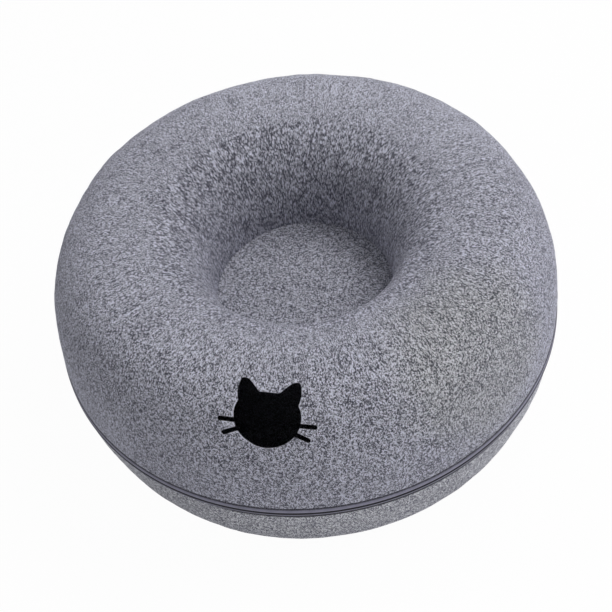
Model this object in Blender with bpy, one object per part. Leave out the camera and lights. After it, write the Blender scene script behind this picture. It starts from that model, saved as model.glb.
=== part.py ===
"""Donut cat tunnel: a ring-shaped felt tunnel in two moulded halves that a zipper joins.

The upper half is the domed outer wall, the crest and the funnel of the well. The lower half is
the lower wall, the base and the core, on whose rim the floor of the well lies. The zipper runs
all the way round the widest line, with its coil on the inside and its slider at the back.

Metres, +Z up. The origin is on the ground at the ring's centre, and the front looks along -Y.
"""
import math

import bmesh
import bpy
from mathutils import Matrix, Vector

# Main sizes of the felt ring
RING_RADIUS = 0.300
RING_HEIGHT = 0.250
ZIPPER_HEIGHT = 0.104
CREST_RADIUS = 0.216
WELL_RADIUS = 0.107
FLOOR_HEIGHT = 0.121
BASE_INSET = 0.029
CORE_FLARE = 0.043
FELT = 0.004

# How full each quarter curve is: below 1 is squarer than an ellipse, above 1 is flatter
DOME_FULLNESS_SHARE = 0.86
WELL_FULLNESS_SHARE = 0.82
UNDERSIDE_FULLNESS_SHARE = 1.25
CORE_FULLNESS_SHARE = 1.0

# Clearances
SEAT_GAP = 0.0003
RUNNING_GAP = 0.0007
OVERRUN = 0.020

# Entrance, an oval through the back of the dome, from above the zipper to below the crest
ENTRANCE_WIDTH = 0.165
ENTRANCE_SILL = 0.014
ENTRANCE_CREST_DROP = 0.0165

# Peephole, a cat's head with ears and whiskers through the front of the dome
PEEPHOLE_CREST_DROP = 0.019
PEEPHOLE_AZIMUTH = math.radians(-12.25)
PEEPHOLE_TILT = math.radians(-3.0)
HEAD_HALF_WIDTH = 0.0338
HEAD_HALF_HEIGHT = 0.0286
HEAD_DROP = 0.0030
CHEEK_BOW = 0.0013
EAR_NOTCH_OUT = 0.0307
EAR_NOTCH_UP = 0.0132
EAR_OUTER_BOW = 0.0021
EAR_TIP_OUT = 0.0297
EAR_TIP_UP = 0.0357
EAR_TIP_WIDTH = 0.0027
EAR_TIP_RISE = 0.0007
EAR_TIP_BOW = 0.0006
EAR_INNER_BOW = 0.0014
EAR_INNER_OUT = 0.0111
EAR_INNER_UP = 0.0244
BROW_BOW = 0.0011
WHISKER_THICKNESS = 0.0050
UPPER_WHISKER_OUT = 0.0485
UPPER_WHISKER_DROP = 0.0050
LOWER_WHISKER_OUT = 0.0435
LOWER_WHISKER_DROP = 0.0192
LOWER_WHISKER_ROOT_DROP = 0.0128
WHISKER_ROOT_SHARE = 0.75

# Zipper tapes
TAPE = 0.0008
TAPE_PROUD = 0.0006
TAPE_SHOWS_ABOVE = 0.0085
TAPE_SHOWS_BELOW = 0.0060
TAPE_SPLIT = 0.0012
TAPE_HEM = 0.012

# Zipper coil, on the back of the tapes, with a break in it at the back of the ring
COIL_WIDTH = 0.0018
COIL_DEPTH = 0.0020
COIL_SPLIT = 0.0016
COIL_EDGE = 0.0005
COIL_BREAK_STEPS = 1
STOP_START_ANGLE = math.radians(3.4)
STOP_END_ANGLE = math.radians(4.7)

# Slider
PLATE_LENGTH = 0.018
PLATE_THICKNESS = 0.0014
PLATE_MARGIN = 0.0012
PLATE_TAIL_SHARE = 0.78
PLATE_SHOULDER_SHARE = 0.30
CHANNEL_LENGTH = 0.016
CHANNEL_THICKNESS = 0.0010
LIP_THICKNESS = 0.0008
LIP_GAP = 0.0005
WEB_GAP = 0.0003
WEB_START = 0.0015
WEB_LENGTH = 0.0050
CROWN_LENGTH = 0.0100
CROWN_THICKNESS = 0.0011
CROWN_WIDTH = 0.0020
CROWN_WINDOW = 0.0025
CROWN_SQUARENESS_SHARE = 0.5
ROOT_OVERLAP = 0.0004

# Pull tab
TAB_LENGTH = 0.024
TAB_THICKNESS = 0.0010
TAB_WIDTH = 0.0066
TAB_NECK_WIDTH = 0.0044
TAB_BAR = 0.0012
TAB_AXIS_LIFT = 0.0011
TAB_EYE_GAP = 0.0006
TAB_SHOULDER = 0.0016
TAB_NECK_LENGTH = 0.0040
TAB_HOLE_RADIUS = 0.0010

# Facets
STEPS_ROUND = 72
DOME_STEPS = 9
WELL_STEPS = 9
UNDERSIDE_STEPS = 7
CORE_STEPS = 5
HEAD_STEPS = 18
EAR_STEPS = 3
OVAL_STEPS = 36
ROUND_END_STEPS = 8
CROWN_STEPS = 10

# Heights and radii that follow from the sizes above
BASE_RADIUS = RING_RADIUS - BASE_INSET
CORE_FOOT_RADIUS = WELL_RADIUS + CORE_FLARE
PEEPHOLE_HEIGHT = RING_HEIGHT - PEEPHOLE_CREST_DROP
TAPE_FACE_RADIUS = RING_RADIUS + TAPE_PROUD
STEP_ANGLE = 2 * math.pi / STEPS_ROUND
BACK_ANGLE = math.pi / 2
UP = 1
DOWN = -1


def clear_scene():
    for item in list(bpy.data.objects):
        bpy.data.objects.remove(item, do_unlink=True)


def make_material(name, colour, roughness, metallic=0.0):
    """A plain Principled finish; the colour is linear red, green and blue."""
    finish = bpy.data.materials.new(name)
    finish.use_nodes = True
    shader = finish.node_tree.nodes["Principled BSDF"]
    shader.inputs["Base Color"].default_value = (*colour, 1.0)
    shader.inputs["Roughness"].default_value = roughness
    shader.inputs["Metallic"].default_value = metallic
    finish.diffuse_color = (*colour, 1.0)
    return finish


def felt_finish(name):
    return make_material(name, (0.262, 0.262, 0.319), 0.95)


def tape_finish(name):
    return make_material(name, (0.165, 0.165, 0.212), 0.85)


def coil_finish(name):
    return make_material(name, (0.035, 0.035, 0.045), 0.45)


def metal_finish(name):
    return make_material(name, (0.115, 0.115, 0.140), 0.35, 0.8)


def quarter_point(wall, crown, fullness, turn):
    """Point at an angle of turn on a quarter superellipse, upright at wall and level at crown."""
    radius = crown[0] + (wall[0] - crown[0]) * math.cos(turn) ** fullness
    height = wall[1] + (crown[1] - wall[1]) * math.sin(turn) ** fullness
    return radius, height


def turn_at_height(wall, crown, fullness, height):
    """Angle at which the quarter curve has reached a height."""
    rise_share = (height - wall[1]) / (crown[1] - wall[1])
    return math.asin(rise_share ** (1 / fullness))


def quarter_curve(wall, crown, fullness, steps, start_height=None):
    """Points along the quarter curve, from start_height or its upright end to its level end."""
    start = 0.0
    if start_height is not None:
        start = turn_at_height(wall, crown, fullness, start_height)
    turns = [start + (math.pi / 2 - start) * i / steps for i in range(steps)]
    return [quarter_point(wall, crown, fullness, turn) for turn in turns] + [crown]


def left_normal(start, end):
    run, rise = end[0] - start[0], end[1] - start[1]
    length = math.hypot(run, rise)
    return Vector((-rise / length, run / length))


def offset_line(points, distance):
    """The line moved sideways by distance, to its left; its two ends move level."""
    normals = [left_normal(a, b) for a, b in zip(points, points[1:])]
    moved = []
    for i in range(1, len(points) - 1):
        middle = (normals[i - 1] + normals[i]).normalized()
        reach = distance / middle.dot(normals[i])
        moved.append((points[i][0] + middle.x * reach, points[i][1] + middle.y * reach))
    first = (points[0][0] + math.copysign(distance, normals[0].x * distance), points[0][1])
    last = (points[-1][0] + math.copysign(distance, normals[-1].x * distance), points[-1][1])
    return [first] + moved + [last]


def radius_at(points, height):
    """Radius of a line of (radius, height) points where it first crosses a height."""
    for a, b in zip(points, points[1:]):
        if min(a[1], b[1]) <= height <= max(a[1], b[1]) and a[1] != b[1]:
            share = (height - a[1]) / (b[1] - a[1])
            return a[0] + (b[0] - a[0]) * share
    raise ValueError("the line does not reach this height")


def dome_ends():
    return (RING_RADIUS, ZIPPER_HEIGHT), (CREST_RADIUS, RING_HEIGHT)


def upper_outside():
    """Outside of the upper half: up the outer wall, over the crest and down the well."""
    wall, crest = dome_ends()
    edge = ZIPPER_HEIGHT + TAPE_SHOWS_ABOVE
    dome = quarter_curve(wall, crest, DOME_FULLNESS_SHARE, DOME_STEPS, edge)
    well_foot = (WELL_RADIUS, FLOOR_HEIGHT + SEAT_GAP)
    well = quarter_curve(well_foot, crest, WELL_FULLNESS_SHARE, WELL_STEPS)
    return dome + well[-2::-1]


def lower_outside():
    """Outside of the lower half: down the lower wall, across the base and up inside the core."""
    wall = (RING_RADIUS, ZIPPER_HEIGHT)
    edge = ZIPPER_HEIGHT - TAPE_SHOWS_BELOW
    underside = quarter_curve(wall, (BASE_RADIUS, 0.0), UNDERSIDE_FULLNESS_SHARE,
                              UNDERSIDE_STEPS, edge)
    core_top = (WELL_RADIUS, FLOOR_HEIGHT - FELT - SEAT_GAP)
    core = quarter_curve(core_top, (CORE_FOOT_RADIUS, 0.0), CORE_FULLNESS_SHARE, CORE_STEPS)
    return underside + core[::-1]


def upper_inside():
    return offset_line(upper_outside(), FELT)


def lower_inside():
    return offset_line(lower_outside(), -FELT)


def add_piece(name, shape, finish, parent=None):
    """Turn a bmesh into a named object with its finish, smooth except at sharp edges."""
    bmesh.ops.recalc_face_normals(shape, faces=shape.faces)
    mesh = bpy.data.meshes.new(name)
    shape.to_mesh(mesh)
    shape.free()
    mesh.shade_smooth()
    mesh.set_sharp_from_angle(angle=math.radians(35))
    if finish is not None:
        mesh.materials.append(finish)
    piece = bpy.data.objects.new(name, mesh)
    piece.parent = parent
    bpy.context.scene.collection.objects.link(piece)
    return piece


def add_pivot(name, location, parent=None):
    pivot = bpy.data.objects.new(name, None)
    pivot.location = location
    pivot.parent = parent
    bpy.context.scene.collection.objects.link(pivot)
    return pivot


def swept_section(section, start_angle, end_angle, steps):
    """A closed (radius, height) section turned about Z; a part turn is closed by end faces."""
    shape = bmesh.new()
    spot = Matrix.Rotation(start_angle, 3, "Z")
    corners = [shape.verts.new(spot @ Vector((radius, 0.0, height))) for radius, height in section]
    edges = [shape.edges.new((a, b)) for a, b in zip(corners, corners[1:] + corners[:1])]
    full_turn = math.isclose(end_angle - start_angle, 2 * math.pi)
    bmesh.ops.spin(shape, geom=corners + edges, cent=(0, 0, 0), axis=(0, 0, 1),
                   angle=end_angle - start_angle, steps=steps, use_merge=full_turn)
    if full_turn:
        bmesh.ops.remove_doubles(shape, verts=shape.verts, dist=SEAT_GAP / 10)
    else:
        open_edges = [edge for edge in shape.edges if edge.is_boundary]
        bmesh.ops.holes_fill(shape, edges=open_edges, sides=len(section))
    return shape


def ring(section):
    return swept_section(section, 0.0, 2 * math.pi, STEPS_ROUND)


def extruded(outline, low, high):
    """A flat (x, y) outline drawn at low and extruded up to high along Z."""
    shape = bmesh.new()
    corners = [shape.verts.new((x, y, low)) for x, y in outline]
    base = shape.faces.new(corners)
    top = bmesh.ops.extrude_face_region(shape, geom=[base])["geom"]
    raised = [item for item in top if isinstance(item, bmesh.types.BMVert)]
    bmesh.ops.translate(shape, verts=raised, vec=(0, 0, high - low))
    return shape


def block(low, high):
    """A box between two opposite corners."""
    outline = [(low[0], low[1]), (high[0], low[1]), (high[0], high[1]), (low[0], high[1])]
    return extruded(outline, low[2], high[2])


def combine(piece, other, operation):
    """Cut another shape out of a piece, or join it on; the other shape stays as a guide."""
    change = piece.modifiers.new(operation.lower() + "_" + other.name, "BOOLEAN")
    change.operation = operation
    change.solver = "EXACT"
    change.object = other
    other.hide_render = True
    other.display_type = "WIRE"


def arc_points(centre, radii, start, end, steps):
    """Points on an elliptical arc, both ends included."""
    angles = [start + (end - start) * i / steps for i in range(steps + 1)]
    return [(centre[0] + radii[0] * math.cos(a), centre[1] + radii[1] * math.sin(a))
            for a in angles]


def bowed_line(start, end, bow, steps):
    """Points from start up to but not including end, bowed out to the right of the way there."""
    side = -left_normal(start, end)
    points = []
    for i in range(steps):
        share = i / steps
        reach = 4 * bow * share * (1 - share)
        points.append((start[0] + (end[0] - start[0]) * share + side.x * reach,
                       start[1] + (end[1] - start[1]) * share + side.y * reach))
    return points


def head_outline():
    """Cat's head: half an ellipse for the chin, bowed cheeks, two ears and a low brow."""
    jaw = (HEAD_HALF_WIDTH, -HEAD_DROP)
    notch = (EAR_NOTCH_OUT, EAR_NOTCH_UP)
    tip = (EAR_TIP_OUT, EAR_TIP_UP)
    tip_inside = (EAR_TIP_OUT - EAR_TIP_WIDTH, EAR_TIP_UP + EAR_TIP_RISE)
    ear_inside = (EAR_INNER_OUT, EAR_INNER_UP)
    chin = arc_points((0.0, -HEAD_DROP), (HEAD_HALF_WIDTH, HEAD_HALF_HEIGHT), math.pi,
                      2 * math.pi, HEAD_STEPS)[1:-1]
    right_side = (bowed_line(jaw, notch, CHEEK_BOW, EAR_STEPS)
                  + bowed_line(notch, tip, EAR_OUTER_BOW, EAR_STEPS)
                  + bowed_line(tip, tip_inside, EAR_TIP_BOW, 2)
                  + bowed_line(tip_inside, ear_inside, EAR_INNER_BOW, EAR_STEPS)
                  + [ear_inside])
    left_side = [(-across, up) for across, up in reversed(right_side)]
    brow = bowed_line(ear_inside, left_side[0], BROW_BOW, EAR_STEPS)[1:]
    return chin + right_side + brow + left_side


def whisker_outline(root, tip):
    """A slit with round ends from root to tip."""
    heading = math.atan2(tip[1] - root[1], tip[0] - root[0])
    radius = WHISKER_THICKNESS / 2
    radii = (radius, radius)
    tip_end = arc_points(tip, radii, heading - math.pi / 2, heading + math.pi / 2,
                         ROUND_END_STEPS)
    root_end = arc_points(root, radii, heading + math.pi / 2, heading + 3 * math.pi / 2,
                          ROUND_END_STEPS)
    return tip_end + root_end


def whisker_lines():
    """Root and tip of each of the four whiskers."""
    root_out = HEAD_HALF_WIDTH * WHISKER_ROOT_SHARE
    for side in (UP, DOWN):
        yield ((side * root_out, -UPPER_WHISKER_DROP),
               (side * UPPER_WHISKER_OUT, -UPPER_WHISKER_DROP))
        yield ((side * root_out, -LOWER_WHISKER_ROOT_DROP),
               (side * LOWER_WHISKER_OUT, -LOWER_WHISKER_DROP))


def peephole_place():
    """Frame on the outside of the dome: x round to the right, y up the slope, z outwards."""
    wall, crest = dome_ends()
    turn = turn_at_height(wall, crest, DOME_FULLNESS_SHARE, PEEPHOLE_HEIGHT)
    radius, height = quarter_point(wall, crest, DOME_FULLNESS_SHARE, turn)
    inward = (wall[0] - crest[0]) * math.cos(turn) ** (DOME_FULLNESS_SHARE - 1) * math.sin(turn)
    upward = (crest[1] - wall[1]) * math.sin(turn) ** (DOME_FULLNESS_SHARE - 1) * math.cos(turn)
    lean = math.atan2(inward, upward)
    round_ring = Matrix.Rotation(PEEPHOLE_AZIMUTH, 4, "Z")
    out_to_dome = Matrix.Translation((0.0, -radius, height))
    onto_slope = Matrix.Rotation(math.pi / 2 - lean, 4, "X")
    return round_ring @ out_to_dome @ onto_slope @ Matrix.Rotation(PEEPHOLE_TILT, 4, "Z")


def cut_peephole(dome):
    place = peephole_place()
    outlines = [("peephole_head", head_outline())]
    outlines += [("peephole_whisker_%d" % (i + 1), whisker_outline(root, tip))
                 for i, (root, tip) in enumerate(whisker_lines())]
    for name, outline in outlines:
        cutter = add_piece(name, extruded(outline, -OVERRUN, OVERRUN), None)
        cutter.matrix_world = place
        combine(dome, cutter, "DIFFERENCE")


def cut_entrance(dome):
    """An upright oval prism through the back wall only, clear of the well."""
    sill = ZIPPER_HEIGHT + TAPE_SHOWS_ABOVE + ENTRANCE_SILL
    top = RING_HEIGHT - ENTRANCE_CREST_DROP
    radii = (ENTRANCE_WIDTH / 2, (top - sill) / 2)
    oval = arc_points((0.0, 0.0), radii, 0.0, 2 * math.pi, OVAL_STEPS)[:-1]
    depth = RING_RADIUS + OVERRUN - CREST_RADIUS
    cutter = add_piece("entrance_oval", extruded(oval, 0.0, depth), None)
    cutter.location = (0.0, RING_RADIUS + OVERRUN, (sill + top) / 2)
    cutter.rotation_euler = (math.pi / 2, 0.0, 0.0)
    combine(dome, cutter, "DIFFERENCE")


def make_upper_shell(parent, finish):
    section = upper_outside() + upper_inside()[::-1]
    dome = add_piece("upper_shell", ring(section), finish, parent)
    cut_entrance(dome)
    cut_peephole(dome)


def make_lower_shell(finish):
    section = lower_outside() + lower_inside()[::-1]
    add_piece("lower_shell", ring(section), finish)


def make_well_floor(finish):
    """Felt disc on the core's rim; the foot of the well lands on its edge."""
    rim = WELL_RADIUS + FELT
    outline = arc_points((0.0, 0.0), (rim, rim), 0.0, 2 * math.pi, STEPS_ROUND)[:-1]
    add_piece("well_floor", extruded(outline, FLOOR_HEIGHT - FELT, FLOOR_HEIGHT), finish)


def tape_section(side, shows, felt_inside):
    """Tape: a band that stands a little proud of the slot, a step under the felt's edge and a hem
    behind the felt."""
    near = side * TAPE_SPLIT / 2
    step_outer = side * (shows - SEAT_GAP)
    step_inner = side * (shows - SEAT_GAP - TAPE)
    hem_end = side * (shows + TAPE_HEM)
    back_radius = TAPE_FACE_RADIUS - TAPE
    hem_root = radius_at(felt_inside, ZIPPER_HEIGHT + side * shows) - SEAT_GAP
    hem_tip = radius_at(felt_inside, ZIPPER_HEIGHT + hem_end) - SEAT_GAP
    line = [(TAPE_FACE_RADIUS, near), (TAPE_FACE_RADIUS, step_outer), (hem_root, step_outer),
            (hem_tip, hem_end), (hem_tip - TAPE, hem_end), (hem_root - TAPE, step_inner),
            (back_radius, step_inner), (back_radius, near)]
    return [(radius, ZIPPER_HEIGHT + up) for radius, up in line]


def coil_back_radius():
    return TAPE_FACE_RADIUS - TAPE - SEAT_GAP


def coil_section(side, edge):
    """Rounded-off section of one row of the coil, or of a stop, against the tape's back."""
    outer = coil_back_radius()
    inner = outer - COIL_DEPTH
    near = COIL_SPLIT / 2
    far = near + COIL_WIDTH
    line = [(outer, near), (outer, far), (inner + edge, far), (inner, far - edge),
            (inner, near + edge), (inner + edge, near)]
    return [(radius, ZIPPER_HEIGHT + side * up) for radius, up in line]


def make_coil(name, side, finish, parent):
    """One row, round the ring from one side of the break at the back to the other."""
    start = BACK_ANGLE + COIL_BREAK_STEPS * STEP_ANGLE
    steps = STEPS_ROUND - 2 * COIL_BREAK_STEPS
    shape = swept_section(coil_section(side, COIL_EDGE), start, start + steps * STEP_ANGLE, steps)
    add_piece(name, shape, finish, parent)


def make_stop(name, side, way, finish, parent):
    """Stop on the tape's back, in the break beside the end of a row; way is its side of it."""
    ends = sorted((BACK_ANGLE + way * STOP_START_ANGLE, BACK_ANGLE + way * STOP_END_ANGLE))
    section = coil_section(side, COIL_EDGE)
    add_piece(name, swept_section(section, ends[0], ends[1], 1), finish, parent)


def make_zipper_side(name, side, shows, felt_inside, parent, finishes):
    tape, coil, metal = finishes
    section = tape_section(side, shows, felt_inside)
    add_piece(name + "_tape", ring(section), tape, parent)
    make_coil(name + "_coil", side, coil, parent)
    make_stop(name + "_start_stop", side, DOWN, metal, parent)
    make_stop(name + "_end_stop", side, UP, metal, parent)


def plate_outline():
    """Slider plate seen from outside: wide at the nose, drawn in towards the tail."""
    nose = PLATE_LENGTH / 2
    half_width = TAPE_SHOWS_BELOW - PLATE_MARGIN
    tail_half = half_width * PLATE_TAIL_SHARE
    shoulder = PLATE_LENGTH * PLATE_SHOULDER_SHARE / 2
    nose_round = arc_points((nose - half_width / 2, 0.0), (half_width / 2, half_width),
                            -math.pi / 2, math.pi / 2, ROUND_END_STEPS)
    tail_round = arc_points((tail_half / 2 - nose, 0.0), (tail_half / 2, tail_half),
                            math.pi / 2, 3 * math.pi / 2, ROUND_END_STEPS)
    upper_side = [(shoulder, half_width), (-shoulder, tail_half)]
    lower_side = [(-shoulder, -tail_half), (shoulder, -half_width)]
    return nose_round + upper_side + tail_round + lower_side


def crown_outline():
    """Squarish arch, with the window that the pull tab's bar lies in, rooted in the plate."""
    half = CROWN_LENGTH / 2
    inner_half = half - CROWN_THICKNESS
    top = CROWN_WINDOW + CROWN_THICKNESS
    turns = [math.pi * i / CROWN_STEPS for i in range(CROWN_STEPS + 1)]

    def arch(reach, rise):
        return [(math.copysign(reach * abs(math.cos(t)) ** CROWN_SQUARENESS_SHARE, math.cos(t)),
                 rise * abs(math.sin(t)) ** CROWN_SQUARENESS_SHARE) for t in turns]

    outer = [(half, -ROOT_OVERLAP)] + arch(half, top) + [(-half, -ROOT_OVERLAP)]
    inner = [(-inner_half, -ROOT_OVERLAP)] + arch(inner_half, CROWN_WINDOW)[::-1]
    return outer + inner + [(inner_half, -ROOT_OVERLAP)]


def channel_outline():
    """Inner plate and its two lips, seen along the zipper: (depth, up) round the coil's rows."""
    coil_inner = TAPE + SEAT_GAP + COIL_DEPTH
    face = -(coil_inner + RUNNING_GAP)
    back = face - CHANNEL_THICKNESS
    lip_tip = -(TAPE + RUNNING_GAP)
    lip_in = COIL_SPLIT / 2 + COIL_WIDTH + LIP_GAP
    lip_out = lip_in + LIP_THICKNESS
    return [(back, -lip_out), (lip_tip, -lip_out), (lip_tip, -lip_in), (face, -lip_in),
            (face, lip_in), (lip_tip, lip_in), (lip_tip, lip_out), (back, lip_out)]


def make_slider(pivot, finish):
    """Outer plate with its crown, and inner channel, joined by a web between the tapes.

    The piece is drawn with x along the zipper, y outwards from the tape's face and z up.
    """
    plate_low = RUNNING_GAP
    plate_high = plate_low + PLATE_THICKNESS
    stand_up = Matrix.Rotation(math.pi / 2, 4, "X")
    along = Matrix(((0, 0, 1), (1, 0, 0), (0, 1, 0))).to_4x4()
    web_half = TAPE_SPLIT / 2 - WEB_GAP
    channel_face = -(TAPE + SEAT_GAP + COIL_DEPTH + RUNNING_GAP)

    body = extruded(plate_outline(), -plate_high, -plate_low)
    bmesh.ops.transform(body, matrix=stand_up, verts=body.verts)
    crown = extruded(crown_outline(), -CROWN_WIDTH / 2, CROWN_WIDTH / 2)
    bmesh.ops.translate(crown, verts=crown.verts, vec=(0, plate_high, 0))
    channel = extruded(channel_outline(), -CHANNEL_LENGTH / 2, CHANNEL_LENGTH / 2)
    bmesh.ops.transform(channel, matrix=along, verts=channel.verts)
    web = block((WEB_START, channel_face - ROOT_OVERLAP, -web_half),
                (WEB_START + WEB_LENGTH, plate_low + ROOT_OVERLAP, web_half))

    place = (0.0, TAPE_FACE_RADIUS, 0.0)
    slider = add_piece("slider", body, finish, pivot)
    slider.location = place
    for name, shape in (("slider_crown", crown), ("slider_web", web),
                        ("slider_channel", channel)):
        part = add_piece(name, shape, finish, pivot)
        part.location = place
        combine(slider, part, "UNION")


def tab_outline():
    """Pull tab seen flat: a wide eye end, a neck and a grip with a round end."""
    eye_half = TAB_WIDTH / 2
    neck_half = TAB_NECK_WIDTH / 2
    eye_end = CROWN_LENGTH / 2 + TAB_EYE_GAP + TAB_BAR
    neck_start = eye_end + TAB_SHOULDER
    neck_end = neck_start + TAB_NECK_LENGTH
    grip_start = neck_end + TAB_SHOULDER
    grip = arc_points((TAB_LENGTH - eye_half, 0.0), (eye_half, eye_half),
                      -math.pi / 2, math.pi / 2, ROUND_END_STEPS)
    side = [(grip_start, eye_half), (neck_end, neck_half), (neck_start, neck_half),
            (eye_end, eye_half), (-TAB_BAR / 2, eye_half)]
    return grip + side + [(along, -across) for along, across in reversed(side)]


def make_pull_tab(pivot, finish):
    """Flat tab whose eye goes round the crown, lying along the zipper."""
    lie_flat = Matrix.Rotation(math.pi / 2, 4, "X")
    half = TAB_THICKNESS / 2

    def flat_shape(outline, reach):
        shape = extruded(outline, -reach, reach)
        bmesh.ops.transform(shape, matrix=lie_flat, verts=shape.verts)
        return shape

    tab = add_piece("pull_tab", flat_shape(tab_outline(), half), finish, pivot)
    eye_half = CROWN_WIDTH / 2 + TAB_EYE_GAP
    eye_start = TAB_BAR / 2
    eye_end = CROWN_LENGTH / 2 + TAB_EYE_GAP
    eye = [(eye_start, -eye_half), (eye_end, -eye_half), (eye_end, eye_half),
           (eye_start, eye_half)]
    hole_radii = (TAB_HOLE_RADIUS, TAB_HOLE_RADIUS)
    hole = arc_points((TAB_LENGTH - TAB_WIDTH / 2, 0.0), hole_radii, 0.0, 2 * math.pi,
                      2 * ROUND_END_STEPS)[:-1]
    for name, outline in (("tab_eye", eye), ("tab_hole", hole)):
        cutter = add_piece(name, flat_shape(outline, TAB_THICKNESS), None, pivot)
        combine(tab, cutter, "DIFFERENCE")


def main():
    clear_scene()
    zipper_finishes = (tape_finish("zipper_tape"), coil_finish("zipper_coil"),
                       metal_finish("zipper_stop"))
    upper_half = add_pivot("upper_half", (0.0, 0.0, 0.0))
    slider_track = add_pivot("slider_track", (0.0, 0.0, ZIPPER_HEIGHT))
    tab_lift = TAPE_FACE_RADIUS + RUNNING_GAP + PLATE_THICKNESS + TAB_AXIS_LIFT
    tab_pivot = add_pivot("tab_pivot", (0.0, tab_lift, 0.0), slider_track)

    make_upper_shell(upper_half, felt_finish("upper_felt"))
    make_lower_shell(felt_finish("lower_felt"))
    make_well_floor(felt_finish("floor_felt"))
    make_zipper_side("upper", UP, TAPE_SHOWS_ABOVE, upper_inside(), upper_half, zipper_finishes)
    make_zipper_side("lower", DOWN, TAPE_SHOWS_BELOW, lower_inside(), None, zipper_finishes)
    make_slider(slider_track, metal_finish("slider_metal"))
    make_pull_tab(tab_pivot, metal_finish("tab_metal"))


main()
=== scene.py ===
"""The donut cat tunnel dressed for its portrait: needle felt, zipper, floor, light and camera.

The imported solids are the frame. Felt, tapes and coils are made finer here, in the same places.
Metres, +Z up, the front looks along -Y.
"""
import math

import bpy
import numpy as np
from mathutils import Matrix


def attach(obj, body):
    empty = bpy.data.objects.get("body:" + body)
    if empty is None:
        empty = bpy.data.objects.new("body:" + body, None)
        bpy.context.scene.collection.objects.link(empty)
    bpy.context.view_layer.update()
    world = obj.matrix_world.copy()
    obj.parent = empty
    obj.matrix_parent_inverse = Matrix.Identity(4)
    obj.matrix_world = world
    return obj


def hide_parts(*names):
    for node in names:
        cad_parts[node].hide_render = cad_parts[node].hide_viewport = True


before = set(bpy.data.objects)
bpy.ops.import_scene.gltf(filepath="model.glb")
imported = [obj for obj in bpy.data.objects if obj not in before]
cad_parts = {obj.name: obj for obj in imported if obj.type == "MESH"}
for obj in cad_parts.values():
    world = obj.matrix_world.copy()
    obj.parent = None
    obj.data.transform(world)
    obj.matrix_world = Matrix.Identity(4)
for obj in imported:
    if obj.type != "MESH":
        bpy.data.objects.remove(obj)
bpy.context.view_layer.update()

# Sizes of the felt ring, as the solids have them
RING_RADIUS = 0.300
RING_HEIGHT = 0.250
ZIPPER_HEIGHT = 0.104
CREST_RADIUS = 0.216
WELL_RADIUS = 0.107
FLOOR_HEIGHT = 0.121
BASE_RADIUS = 0.271
CORE_FOOT_RADIUS = 0.150
FELT = 0.004
DOME_FULLNESS = 0.86
WELL_FULLNESS = 0.82
UNDERSIDE_FULLNESS = 1.25
SEAT_GAP = 0.0003

# Felt as it is dressed: rounded edges, and the well's edge pressed into the floor
EDGE_ROUND = 0.0009
FLOOR_EDGE_ROUND = 0.0008
SEAT_SINK = 0.0006

# Zipper. The band stands further out of a wider slot than on the solids, as in the picture.
TAPE = 0.0008
TAPE_PROUD = 0.0006
BAND_PROUD = 0.0012
SPLIT_RISE = 0.0004
SHOWS_ABOVE = 0.0090
SHOWS_BELOW = 0.0074
TAPE_HEM = 0.012
COIL_WIDTH = 0.0018
COIL_DEPTH = 0.0020
COIL_SPLIT = 0.0016
COIL_TURNS = 1128
COIL_BREAK = math.radians(5.0)
WIRE = 0.00028

# Entrance and peephole
ENTRANCE_WIDTH = 0.165
ENTRANCE_SILL = 0.0135
ENTRANCE_CREST_DROP = 0.0165
PEEPHOLE_HEIGHT = 0.231
PEEPHOLE_AZIMUTH = math.radians(-12.25)
PEEPHOLE_TILT = math.radians(-3.44)
PEEPHOLE_SHIFT = (-0.0004, 0.0007)
PEEPHOLE_REACH = 0.042
PEEPHOLE_SPAN = math.radians(13.5)
WHISKER_THICKNESS = 0.0050
# Root and tip of each whisker
WHISKERS = [((0.0250, -0.0056), (0.0485, -0.0056)), ((0.0250, -0.0130), (0.0426, -0.0200)),
            ((-0.0258, -0.0057), (-0.0481, -0.0056)), ((-0.0258, -0.0126), (-0.0431, -0.0197))]
CHIN_DEPTH = 0.0295
CHIN_FULLNESS = 1.07
CHEEK_BOW, EAR_BOW, TIP_BOW, INNER_EAR_BOW, BROW_BOW = 0.0018, 0.0022, 0.0006, 0.0005, 0.0004


# Arithmetic on grids of points

def waves(points, seed, size, count=40):
    """Soft relief between about -1 and 1: the sum of count sine waves through space, each with its
    own direction and phase and with a length near size, divided by the root of half their count."""
    rng = np.random.default_rng(seed)
    way = rng.normal(size=(count, 3))
    way /= np.linalg.norm(way, axis=1, keepdims=True)
    length = size * rng.uniform(0.7, 1.6, count)
    phase = rng.uniform(0.0, 2 * math.pi, count)
    angle = points @ (way / length[:, None] * 2 * math.pi).T + phase
    return np.sin(angle).sum(axis=1) / math.sqrt(count / 2)


def quarter(wall, crown, fullness, turn):
    """Quarter superellipse: radius runs from crown to wall with cos(turn) to the power of fullness,
    height from wall to crown with sin(turn) to the same power."""
    radius = crown[0] + (wall[0] - crown[0]) * np.cos(turn) ** fullness
    height = wall[1] + (crown[1] - wall[1]) * np.sin(turn) ** fullness
    return np.stack([radius, height], axis=1)


def turn_at(wall, crown, fullness, height):
    """The turn at which such a quarter is this high."""
    return math.asin(((height - wall[1]) / (crown[1] - wall[1])) ** (1 / fullness))


def respaced(line, steps):
    """The line resampled by linear interpolation at the given distances along it."""
    length = np.concatenate([[0.0], np.cumsum(np.linalg.norm(np.diff(line, axis=0), axis=1))])
    return np.stack([np.interp(steps, length, line[:, k]) for k in range(line.shape[1])], axis=1)


def line_length(line):
    return float(np.linalg.norm(np.diff(line, axis=0), axis=1).sum())


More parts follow.
